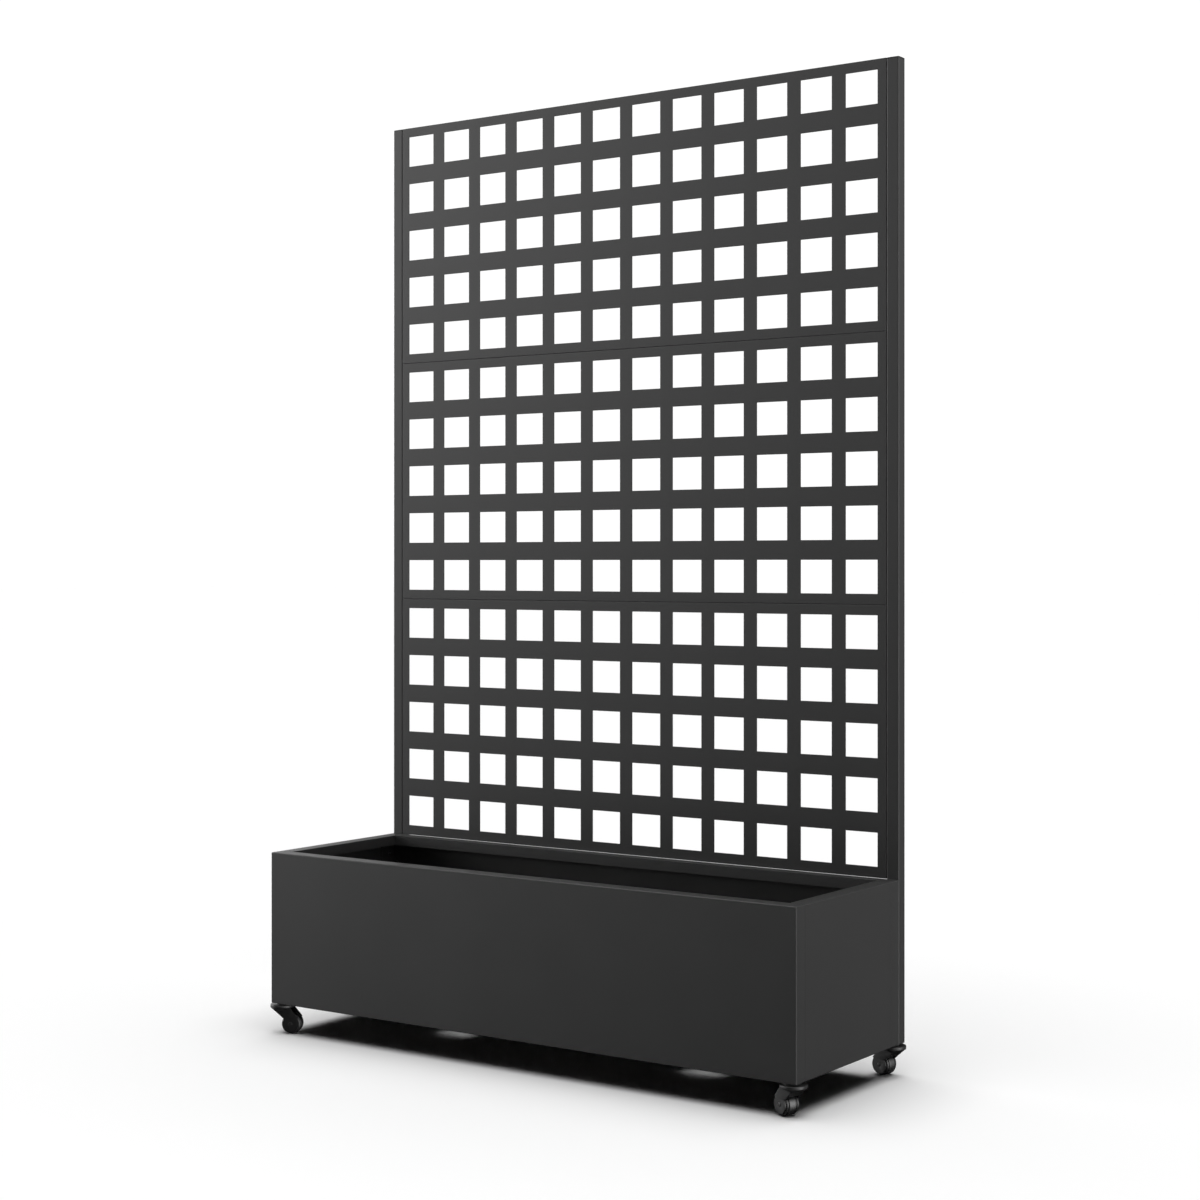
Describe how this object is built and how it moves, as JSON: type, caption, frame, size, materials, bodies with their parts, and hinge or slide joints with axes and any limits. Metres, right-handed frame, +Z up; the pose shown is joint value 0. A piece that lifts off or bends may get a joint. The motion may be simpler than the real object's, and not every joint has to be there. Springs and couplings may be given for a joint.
{
  "type": "rolling planter with trellis screen",
  "caption": "Long sheet-metal planting trough on swivel casters, with square posts behind it holding a tall screen of stacked square-lattice panels.",
  "frame": {"origin": "on the ground, midway along the length and midway between the trough's front face and the backs of the posts", "axes": "+Z up, +X along the trough to its right end seen from the front, -Y towards the front"},
  "size_m": [1.2193, 0.4146, 1.8599],
  "materials": {
    "trough_paint": "satin",
    "trellis_paint": "satin",
    "post_paint": "satin",
    "fastener_steel": "satin",
    "caster_steel": "satin",
    "wheel_plastic": "matte"
  },
  "bodies": {
    "planter": {"back_panel": "trough_paint", "caster_kingpin_front_left": "caster_steel", "caster_kingpin_front_right": "caster_steel", "caster_kingpin_rear_left": "caster_steel", "caster_kingpin_rear_right": "caster_steel", "caster_plate_front_left": "caster_steel", "caster_plate_front_right": "caster_steel", "caster_plate_rear_left": "caster_steel", "caster_plate_rear_right": "caster_steel", "corner_nut_front_left_1": "fastener_steel", "corner_nut_front_left_2": "fastener_steel", "corner_nut_front_right_1": "fastener_steel", "corner_nut_front_right_2": "fastener_steel", "corner_nut_rear_left_1": "fastener_steel", "corner_nut_rear_left_2": "fastener_steel", "corner_nut_rear_right_1": "fastener_steel", "corner_nut_rear_right_2": "fastener_steel", "floor_panel": "trough_paint", "front_panel": "trough_paint", "left_end_panel": "trough_paint", "left_post": "post_paint", "left_post_cap": "post_paint", "lower_screw_left_1": "fastener_steel", "lower_screw_left_2": "fastener_steel", "lower_screw_right_1": "fastener_steel", "lower_screw_right_2": "fastener_steel", "lower_trellis_panel": "trellis_paint", "middle_screw_left_1": "fastener_steel", "middle_screw_left_2": "fastener_steel", "middle_screw_right_1": "fastener_steel", "middle_screw_right_2": "fastener_steel", "middle_trellis_panel": "trellis_paint", "post_bolt_left_1": "fastener_steel", "post_bolt_left_2": "fastener_steel", "post_bolt_right_1": "fastener_steel", "post_bolt_right_2": "fastener_steel", "right_end_panel": "trough_paint", "right_post": "post_paint", "right_post_cap": "post_paint", "swivel_race_front_left": "fastener_steel", "swivel_race_front_right": "fastener_steel", "swivel_race_rear_left": "fastener_steel", "swivel_race_rear_right": "fastener_steel", "upper_screw_left_1": "fastener_steel", "upper_screw_left_2": "fastener_steel", "upper_screw_right_1": "fastener_steel", "upper_screw_right_2": "fastener_steel", "upper_trellis_panel": "trellis_paint"},
    "caster_front_left": {"caster_fork_front_left": "caster_steel", "caster_axle_front_left": "caster_steel"},
    "wheel_front_left": {"caster_wheel_front_left": "wheel_plastic"},
    "caster_front_right": {"caster_fork_front_right": "caster_steel", "caster_axle_front_right": "caster_steel"},
    "wheel_front_right": {"caster_wheel_front_right": "wheel_plastic"},
    "caster_rear_left": {"caster_fork_rear_left": "caster_steel", "caster_axle_rear_left": "caster_steel"},
    "wheel_rear_left": {"caster_wheel_rear_left": "wheel_plastic"},
    "caster_rear_right": {"caster_fork_rear_right": "caster_steel", "caster_axle_rear_right": "caster_steel"},
    "wheel_rear_right": {"caster_wheel_rear_right": "wheel_plastic"}
  },
  "joints": [
    {"name": "swivel_front_left", "type": "hinge", "parent": "planter", "child": "caster_front_left", "pos_m": [-0.581, -0.181, 0.05], "axis": [0, 0, 1], "continuous": true},
    {"name": "roll_front_left", "type": "hinge", "parent": "caster_front_left", "child": "wheel_front_left", "pos_m": [-0.56593, -0.17429, 0.02], "axis": [-0.4067, 0.9135, 0], "continuous": true},
    {"name": "swivel_front_right", "type": "hinge", "parent": "planter", "child": "caster_front_right", "pos_m": [0.581, -0.181, 0.05], "axis": [0, 0, 1], "continuous": true},
    {"name": "roll_front_right", "type": "hinge", "parent": "caster_front_right", "child": "wheel_front_right", "pos_m": [0.56617, -0.17377, 0.02], "axis": [-0.4384, -0.8988, 0], "continuous": true},
    {"name": "swivel_rear_left", "type": "hinge", "parent": "planter", "child": "caster_rear_left", "pos_m": [-0.581, 0.181, 0.05], "axis": [0, 0, 1], "continuous": true},
    {"name": "roll_rear_left", "type": "hinge", "parent": "caster_rear_left", "child": "wheel_rear_left", "pos_m": [-0.56593, 0.17429, 0.02], "axis": [0.4067, 0.9135, 0], "continuous": true},
    {"name": "swivel_rear_right", "type": "hinge", "parent": "planter", "child": "caster_rear_right", "pos_m": [0.581, 0.181, 0.05], "axis": [0, 0, 1], "continuous": true},
    {"name": "roll_rear_right", "type": "hinge", "parent": "caster_rear_right", "child": "wheel_rear_right", "pos_m": [0.56506, 0.18527, 0.02], "axis": [-0.2588, -0.9659, 0], "continuous": true}
  ]
}
